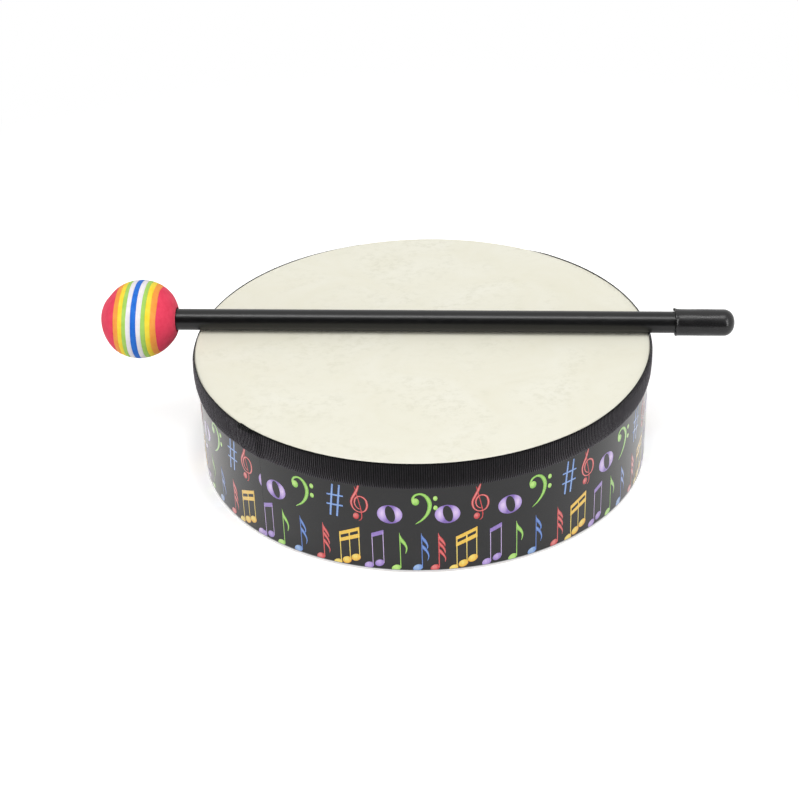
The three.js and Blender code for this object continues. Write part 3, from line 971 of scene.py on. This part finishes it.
# Sine and cosine of the view's height above the horizon
VIEW_SIN = 0.52
VIEW_COS = 0.854
LEAN_UP = 0.044
LEAN_TOWARD = 0.006


def lean(y, z):
    """How far a point moves along the shaft, as the stack of sheets was glued on a little askew."""
    return LEAN_UP * (VIEW_SIN * y + VIEW_COS * z) - LEAN_TOWARD * (-VIEW_COS * y + VIEW_SIN * z)


GROUND_OFF = 0.08


def ball_profile(x):
    """Radius of the ball at a distance along its axis: round, with a slightly conical outer end."""
    r = np.sqrt(np.maximum((BALL_R - GROUND_OFF) ** 2 - x ** 2, 0))
    flank = np.exp(-((x + 17.0) / 2.6) ** 2) * 0.45
    return np.maximum(r - flank, 0)


FOAM = {
    "red": ((234, 56, 88), (246, 70, 102)),
    "orange": ((250, 154, 62), (254, 170, 80)),
    "yellow": ((252, 218, 48), (254, 230, 74)),
    "green": ((160, 208, 90), (178, 220, 110)),
    "white": ((234, 228, 233), (246, 241, 245)),
    "blue": ((28, 104, 208), (42, 122, 222)),
}
HALF_BALL = ["red", "orange", "yellow", "green", "white"]
SHEETS = [*HALF_BALL, "blue", *reversed(HALF_BALL)]
GLUE_GAP = 0.03


def make_ball():
    """Eleven foam sheets glued flat to flat and ground to a ball, each its own piece."""
    materials = {name: foam_material("foam_" + name, *shades) for name, shades in FOAM.items()}
    mouth = math.sqrt(BALL_R ** 2 - SOCKET_R ** 2)
    edges = [GROUND_OFF - BALL_R, *SHEET_PLANES, mouth]
    sides = 160
    last = len(SHEETS) - 1
    whole_r = 1.35 * SOCKET_R
    angles = np.linspace(0, 2 * math.pi, sides, endpoint=False)
    for i, colour in enumerate(SHEETS):
        low, high = np.full(sides, edges[i]), np.full(sides, edges[i + 1])
        if i:
            low = low + ripple(angles, 60 + i, 2, 7, 0.16) + GLUE_GAP
        if i < last:
            high = high + ripple(angles, 61 + i, 2, 7, 0.16) - GLUE_GAP
        steps = 40 if i in (0, last) else 12
        share = np.linspace(0, 1, steps)
        share = 0.5 - 0.5 * np.cos(math.pi * share) if i else 1 - np.cos(math.pi / 2 * share)
        x = low[:, None] + (high - low)[:, None] * share
        r = ball_profile(x)
        groove = np.zeros_like(r)
        if i:
            groove += np.exp(-((x - low[:, None]) / 0.22) ** 2)
        if i < last:
            groove += np.exp(-((high[:, None] - x) / 0.22) ** 2)
        r = r - 0.13 * groove + ripple(angles, 80 + i, 3, 12, 0.05)[:, None] * np.sin(math.pi * share)
        if i == 0:
            r[:, 0] = 0
        if i == last:
            curl = smoothstep(mouth - 1.6, mouth, x)
            r = np.maximum(r, SOCKET_R + 0.1) - 0.1 * curl
            x = x - 0.35 * curl ** 3
        rings = [SOCKET_R, SOCKET_R + 3] if i >= 2 else [0.0, 0.5 * whole_r, whole_r]
        columns = [(x[:, k], r[:, k]) for k in range(steps)]
        if i < last:
            columns += [(x[:, -1], np.full(sides, ring)) for ring in reversed(rings)]
        else:
            columns.append((x[:, -1] - 0.8, np.full(sides, SOCKET_R)))
        if i:
            columns += [(x[:, 0], np.full(sides, ring)) for ring in rings]
        grid_x, grid_r = (np.stack(column, 1) for column in zip(*columns))
        grid_y, grid_z = grid_r * np.cos(angles)[:, None], grid_r * np.sin(angles)[:, None]
        grid_x = grid_x + lean(grid_y, grid_z) * smoothstep(BALL_R, BALL_R - 6, np.abs(grid_x))
        points = np.stack([grid_x, grid_y, grid_z], -1).reshape(-1, 3)
        faces = grid_quads(sides, len(columns))
        slot, name = "foam_" + colour, f"{i + 1:02d}_{colour}"
        material = materials[colour]
        piece = add_piece("foam_slice_" + name, points, faces, "beater", material, "foam_" + name, 50)


# Floor, light and camera

WHITE = (1, 1, 1, 1)
DARK_ROOM = (0.06, 0.06, 0.065, 1)
GLOW_IN_FOOT_SHADOW = 0.33
GLOW_FAR = 0.5
GLOW_MIRRORED = 0.66


def glowing(tree, kind, colour=WHITE, strength=1.0):
    return add_node(tree, kind, {"Color": colour, "Strength": strength}).outputs[0]


def mix_shader(factor, a, b):
    return add_node(factor.id_data, "MixShader", {0: factor, 1: a, 2: b}).outputs[0]


def make_floor():
    """A plain white floor that keeps the object's soft shadow and fades into the white backdrop. Its white
    glow is weaker in a narrow ring round the drum's foot, a painted contact shadow, and mirrored rays see
    its front part as a dark room.
    """
    mesh = bpy.data.meshes.new("floor")
    half = 3.0
    corners = [(-half, -half, 0), (half, -half, 0), (half, half, 0), (-half, half, 0)]
    mesh.from_pydata(corners, [], [(0, 1, 2, 3)])
    floor = bpy.data.objects.new("floor", mesh)
    bpy.context.scene.collection.objects.link(floor)
    material = bpy.data.materials.new("white_floor")
    material.use_nodes = True
    tree = material.node_tree
    tree.nodes.remove(tree.nodes["Principled BSDF"])
    path = add_node(tree, "LightPath").outputs
    mirrored = maths("MULTIPLY", path["Is Glossy Ray"], GLOW_MIRRORED)
    seen = maths("MAXIMUM", path["Is Camera Ray"], mirrored)
    place = add_node(tree, "NewGeometry").outputs["Position"]
    length = add_node(tree, "VectorMath", {0: place}, operation="LENGTH").outputs["Value"]
    # Weaker glow within a narrow ring round the drum's foot: painted contact shadow.
    lift = map_range(length, 0.12, 0.138, GLOW_IN_FOOT_SHADOW, GLOW_FAR)
    glow = glowing(tree, "Emission", WHITE, maths("MULTIPLY", seen, lift))
    diffuse = add_node(tree, "BsdfDiffuse", {"Color": (0.9, 0.9, 0.9, 1)}).outputs[0]
    near = add_node(tree, "AddShader", {0: diffuse, 1: glow}).outputs[0]
    fade = maths("MULTIPLY", map_range(length, 0.3, 0.6), seen)
    both = mix_shader(fade, near, glowing(tree, "Emission"))
    front = map_range(add_node(tree, "SeparateXYZ", {0: place}).outputs["Y"], -0.42, -0.5)
    dim = maths("MULTIPLY", front, path["Is Glossy Ray"])
    whole = mix_shader(dim, both, glowing(tree, "Emission", DARK_ROOM))
    tree.links.new(whole, tree.nodes["Material Output"].inputs["Surface"])
    mesh.materials.append(material)


LIGHT_FROM = (-0.206, -0.973, 0.103)
LIGHT_BACK = 0.34
LIGHT_FRONT = 0.9


def make_world():
    """White to the camera and mirrored, a dimmer room behind it, soft light stronger from the front."""
    world = bpy.data.worlds.new("studio")
    bpy.context.scene.world = world
    world.use_nodes = True
    tree = world.node_tree
    tree.nodes.remove(tree.nodes["Background"])
    path = add_node(tree, "LightPath").outputs
    looking = add_node(tree, "TexCoord").outputs["Generated"]
    inputs = {0: looking, 1: LIGHT_FROM}
    toward = add_node(tree, "VectorMath", inputs, operation="DOT_PRODUCT").outputs["Value"]
    room = map_range(add_node(tree, "SeparateXYZ", {0: looking}).outputs["Y"], -0.5, -0.66)
    glossy = glowing(tree, "Background", mix(room, WHITE, DARK_ROOM))
    soft = glowing(tree, "Background", WHITE, map_range(toward, -0.5, 0.6, LIGHT_BACK, LIGHT_FRONT))
    seen = maths("MAXIMUM", path["Is Camera Ray"], path["Is Transmission Ray"])
    light = mix_shader(path["Is Glossy Ray"], soft, glossy)
    both = mix_shader(seen, light, glowing(tree, "Background"))
    tree.links.new(both, tree.nodes["World Output"].inputs["Surface"])


def looking_from(data, place, across, upward, back):
    """A lamp or camera as an object in the scene, turned so that it looks against back."""
    made = bpy.data.objects.new(data.name, data)
    made.location = place
    made.rotation_mode = "QUATERNION"
    made.rotation_quaternion = Matrix((across, upward, back)).transposed().to_quaternion()
    bpy.context.scene.collection.objects.link(made)
    return made


def add_lamp(name, place, target, wide, width, height, watts, mirrored):
    """An area lamp facing a target, its width along the wide direction. It either lights or is mirrored."""
    back = (Vector(place) - Vector(target)).normalized()
    right = (Vector(wide) - back * back.dot(Vector(wide))).normalized()
    data = bpy.data.lights.new(name, "AREA")
    data.shape = "RECTANGLE"
    data.size = width
    data.size_y = height
    data.energy = watts
    lamp = looking_from(data, place, right, back.cross(right), back)
    lamp.visible_glossy = mirrored
    lamp.visible_diffuse = not mirrored


PHOTO_WIDTH = 800
FOCAL_PIXELS = 1701
SENSOR_MM = 36.0


def make_camera():
    """The photograph's view: 31.3 degrees above the horizon from 0.95 m, held turned by two degrees."""
    elevation, roll = math.radians(31.345), math.radians(-1.977)
    distance, target = 948.0, Vector((DRUM_X - 13.03, 0, 27.05))
    back = Vector((0, -math.cos(elevation), math.sin(elevation)))
    right = Vector((1, 0, 0))
    up = right.cross(-back)
    across = right * math.cos(roll) + up * math.sin(roll)
    upward = up * math.cos(roll) - right * math.sin(roll)
    data = bpy.data.cameras.new("camera")
    data.sensor_width = SENSOR_MM
    data.lens = FOCAL_PIXELS * SENSOR_MM / PHOTO_WIDTH
    data.shift_x, data.shift_y = -0.5 / PHOTO_WIDTH, 0.5 / PHOTO_WIDTH
    data.clip_start, data.clip_end = 0.05, 20
    bpy.context.scene.camera = looking_from(data, (target + back * distance) * MM, across, upward, back)


make_camera()
make_floor()
make_world()
add_lamp("overhead", (0.06, -0.33, 1.12), (0, 0, 0.06), (1, 0, 0), 0.9, 0.62, 5.4, False)
add_lamp("overhead_line", (-0.08, -0.27, 1.13), (0, 0, 0.06), (1, 0, 0), 0.9, 0.28, 5.6, True)
add_lamp("side_strip", (0.83, -0.93, 0.58), (0.17, 0, 0.07), (0, 0, 1), 1.2, 0.3, 9.0, True)
make_shell()
make_wrap()
make_print()
make_head()
make_ribbon()
make_shaft()
make_cap()
make_glue()
make_ball()

bpy.context.scene.view_settings.view_transform = "Standard"
